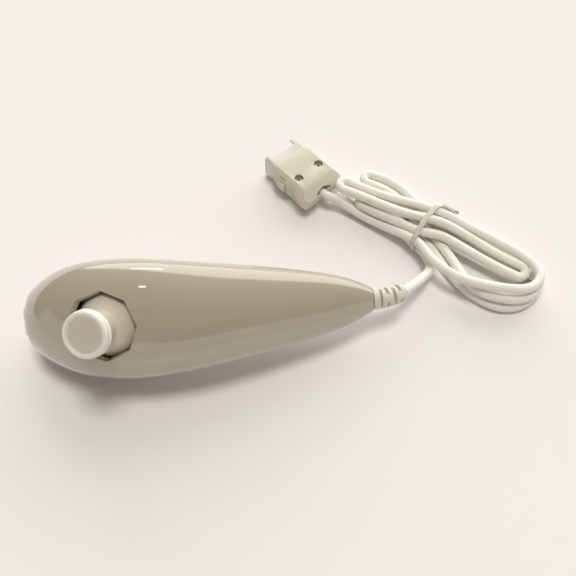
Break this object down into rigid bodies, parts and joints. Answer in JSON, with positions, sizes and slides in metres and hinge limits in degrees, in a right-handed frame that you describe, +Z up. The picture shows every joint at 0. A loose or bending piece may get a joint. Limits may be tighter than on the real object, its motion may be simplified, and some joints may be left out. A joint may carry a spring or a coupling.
{
  "type": "one-handed motion game controller",
  "caption": "One-handed motion game controller lying on a table: rounded body with a thumb stick in an octagonal gate, front button and trigger, bundled cord and plug.",
  "frame": {"origin": "on the table, under the middle of the lying body's box, cord and plug left out", "axes": "+X along the lying body from the nose to the tail, +Z up from the table"},
  "size_m": [0.1787, 0.0961, 0.0411],
  "materials": {
    "shell_upper": "glossy off-white",
    "shell_lower": "glossy off-white",
    "cap": "satin warm white",
    "button": "glossy off-white",
    "grey_plastic": "moulded grey",
    "black_plastic": "moulded black",
    "white_plastic": "moulded white",
    "board": "green board lacquer",
    "steel": "zinc plated",
    "brass": "plated contact",
    "dome_rubber": "conductive rubber",
    "cord": "satin cream jacket",
    "relief": "satin cream",
    "wires": "wire insulation",
    "ribbon": "flat jumper",
    "tie": "paper and wire tie",
    "plug_body": "moulded cream",
    "plug_sleeve": "moulded pale cream"
  },
  "bodies": {
    "body": {"upper_shell": "shell_upper", "lower_shell": "shell_lower", "housing_screws": "steel", "stick_module_frame": "steel", "pot_x": "black_plastic", "pot_y": "black_plastic", "spring_plate": "white_plastic", "centring_spring": "steel", "main_board": "board", "board_screws": "steel", "board_chips": "black_plastic", "board_passives": "steel", "board_socket": "white_plastic", "harness_plug": "white_plastic", "harness_wires": "wires", "button_bracket": "grey_plastic", "rubber_domes": "dome_rubber", "button_board": "board", "trigger_spring": "steel", "ribbon": "ribbon", "cord_anchor": "grey_plastic", "strain_relief": "relief", "cord_lead": "cord", "cord_hank": "cord", "cord_tail": "cord", "twist_tie": "tie", "plug_upper_shell": "plug_body", "plug_lower_shell": "plug_body", "plug_screws": "steel", "plug_nose": "plug_sleeve", "contact_block": "grey_plastic", "plug_contacts": "brass", "latch_springs": "steel"},
    "rocker": {"lower_rocker": "white_plastic", "wiper_x": "brass"},
    "stick": {"stick_shaft": "steel", "stick_cap": "cap"},
    "bail": {"upper_rocker": "white_plastic", "wiper_y": "brass"},
    "upper_button": {"upper_button": "button"},
    "trigger": {"trigger": "button"},
    "latch_left": {"latch_left": "plug_body"},
    "latch_right": {"latch_right": "plug_body"}
  },
  "joints": [
    {"name": "stick_side", "type": "hinge", "parent": "body", "child": "rocker", "pos_m": [-0.03115, -0.00117, 0.02058], "axis": [0.9625, -0.1739, 0.2082], "range_deg": [-17, 17], "stiffness_Nm_per_rad": 0.02, "deforming": ["centring_spring"]},
    {"name": "stick_fore", "type": "hinge", "parent": "rocker", "child": "stick", "pos_m": [-0.03115, -0.00117, 0.02058], "axis": [0.0117, 0.7934, 0.6086], "range_deg": [-17, 17], "stiffness_Nm_per_rad": 0.02},
    {"name": "bail_fore", "type": "hinge", "parent": "body", "child": "bail", "pos_m": [-0.03115, -0.00117, 0.02058], "axis": [0.0117, 0.7934, 0.6086], "range_deg": [-17, 17]},
    {"name": "upper_button_press", "type": "slide", "parent": "body", "child": "upper_button", "axis": [0.9998, 0, -0.0192], "range_m": [0, 0.0008], "stiffness_N_per_m": 600, "springref_m": -0.001, "deforming": ["rubber_domes"]},
    {"name": "trigger_pull", "type": "hinge", "parent": "body", "child": "trigger", "pos_m": [-0.05666, 0.00575, 0.01206], "axis": [-0.0117, -0.7934, -0.6086], "range_deg": [0, 6], "stiffness_Nm_per_rad": 0.12, "springref_deg": -3.44, "deforming": ["trigger_spring"]},
    {"name": "latch_left_squeeze", "type": "slide", "parent": "body", "child": "latch_left", "axis": [-0.7944, -0.6074, 0], "range_m": [0, 0.0007], "stiffness_N_per_m": 800, "springref_m": -0.0004, "deforming": ["latch_springs"]},
    {"name": "latch_right_squeeze", "type": "slide", "parent": "body", "child": "latch_right", "axis": [0.7944, 0.6074, 0], "range_m": [0, 0.0007], "stiffness_N_per_m": 800, "springref_m": -0.0004}
  ],
  "couplings": [
    {"joint": "bail_fore", "follows": "stick_fore", "ratio": 1}
  ]
}
